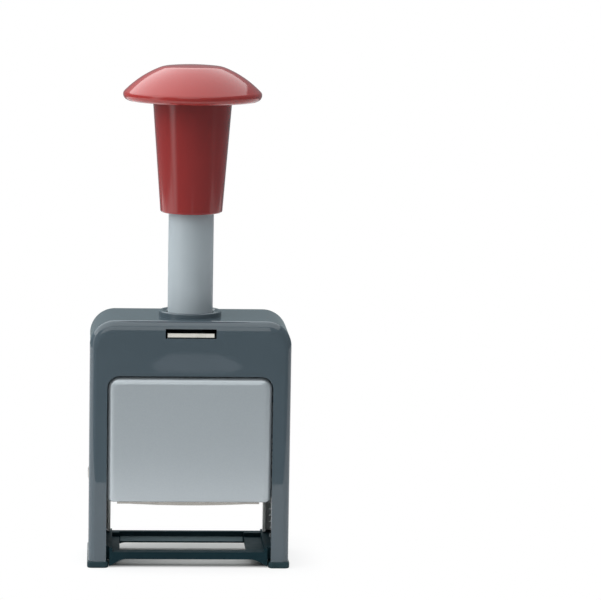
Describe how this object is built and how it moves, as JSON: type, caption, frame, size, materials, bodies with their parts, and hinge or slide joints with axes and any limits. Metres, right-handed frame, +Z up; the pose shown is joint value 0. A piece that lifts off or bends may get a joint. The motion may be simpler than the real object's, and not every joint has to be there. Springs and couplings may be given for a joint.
{
  "type": "numbering machine",
  "caption": "Self-inking desk numbering machine: a plunger knob presses number wheels on to the paper while the ink pad swings clear.",
  "frame": {"origin": "on the table, under the middle of the two feet", "axes": "+Z up along the plunger, +X to the right when facing the front panel, -Y towards the front panel"},
  "size_m": [0.0708, 0.0484, 0.1751],
  "materials": {
    "housing": "moulded ABS, fine satin texture",
    "base": "moulded black plastic, satin",
    "panel": "silver-grey moulded plastic, satin gloss",
    "tube": "light grey moulded plastic, satin",
    "knob": "red moulded plastic, glossy",
    "nickel": "nickel-plated sheet steel",
    "steel": "bright machined or stamped steel",
    "acetal": "moulded acetal, waxy",
    "wheels": "die-cast and machined, ink-stained type faces",
    "rubber": "black rubber",
    "felt": "ink-soaked felt"
  },
  "bodies": {
    "housing": {"front_shell": "housing", "rear_shell": "housing", "top_bush": "housing", "front_panel": "panel", "base_frame": "base", "foot_right": "base", "foot_left": "base", "guide_rod_right": "steel", "guide_rod_left": "steel", "return_spring_right": "steel", "return_spring_left": "steel", "bearing_plate_right": "acetal", "bearing_plate_left": "acetal", "pad_pivot_right": "nickel", "pad_pivot_left": "nickel"},
    "lock": {"lock_slide": "nickel"},
    "plunger": {"carriage_frame": "steel", "slider_right": "acetal", "slider_left": "acetal", "plunger_tube": "tube", "plunger_rod": "steel", "rod_nut": "nickel", "stop_collar": "steel", "stop_buffer": "rubber", "knob_sleeve": "knob", "knob_cap": "knob", "wheel_shaft": "steel", "shaft_clip_right": "steel", "shaft_clip_left": "steel", "detent_comb": "steel"},
    "wheel_1": {"number_wheel_1": "wheels"},
    "wheel_2": {"number_wheel_2": "wheels"},
    "wheel_3": {"number_wheel_3": "wheels"},
    "wheel_4": {"number_wheel_4": "wheels"},
    "wheel_5": {"number_wheel_5": "wheels"},
    "wheel_6": {"number_wheel_6": "wheels"},
    "rocker": {"drive_rocker": "steel", "rocker_pin": "steel"},
    "feed_pawl": {"feed_pawl_comb": "steel"},
    "pad": {"pad_tray": "nickel", "pad_cartridge": "base", "ink_pad": "felt"}
  },
  "joints": [
    {"name": "plunger_press", "type": "slide", "parent": "housing", "child": "plunger", "axis": [0, 0, -1], "range_m": [0, 0.0244], "stiffness_N_per_m": 500, "springref_m": -0.016, "deforming": ["return_spring_right", "return_spring_left"]},
    {"name": "pad_swing", "type": "hinge", "parent": "housing", "child": "pad", "pos_m": [0, 0.0135, 0.028], "axis": [1, 0, 0], "range_deg": [0, 112]},
    {"name": "lock_push", "type": "slide", "parent": "housing", "child": "lock", "axis": [0, 1, 0], "range_m": [0, 0.0022]},
    {"name": "wheel_1_spin", "type": "hinge", "parent": "plunger", "child": "wheel_1", "pos_m": [-0.0125, 0, 0.0359], "axis": [1, 0, 0], "continuous": true},
    {"name": "wheel_2_spin", "type": "hinge", "parent": "plunger", "child": "wheel_2", "pos_m": [-0.0075, 0, 0.0359], "axis": [1, 0, 0], "continuous": true},
    {"name": "wheel_3_spin", "type": "hinge", "parent": "plunger", "child": "wheel_3", "pos_m": [-0.0025, 0, 0.0359], "axis": [1, 0, 0], "continuous": true},
    {"name": "wheel_4_spin", "type": "hinge", "parent": "plunger", "child": "wheel_4", "pos_m": [0.0025, 0, 0.0359], "axis": [1, 0, 0], "continuous": true},
    {"name": "wheel_5_spin", "type": "hinge", "parent": "plunger", "child": "wheel_5", "pos_m": [0.0075, 0, 0.0359], "axis": [1, 0, 0], "continuous": true},
    {"name": "wheel_6_spin", "type": "hinge", "parent": "plunger", "child": "wheel_6", "pos_m": [0.0125, 0, 0.0359], "axis": [1, 0, 0], "continuous": true},
    {"name": "rocker_swing", "type": "hinge", "parent": "plunger", "child": "rocker", "pos_m": [0, 0, 0.0359], "axis": [1, 0, 0], "range_deg": [0, 37]},
    {"name": "feed_pawl_lift", "type": "hinge", "parent": "rocker", "child": "feed_pawl", "pos_m": [0, 0.0135, 0.03877], "axis": [1, 0, 0], "range_deg": [0, 9], "stiffness_Nm_per_rad": 0.01, "springref_deg": -28.65}
  ],
  "couplings": [
    {"joint": "pad_swing", "follows": "plunger_press", "rad_per_m": 78.68},
    {"joint": "rocker_swing", "follows": "plunger_press", "rad_per_m": 25.75}
  ]
}
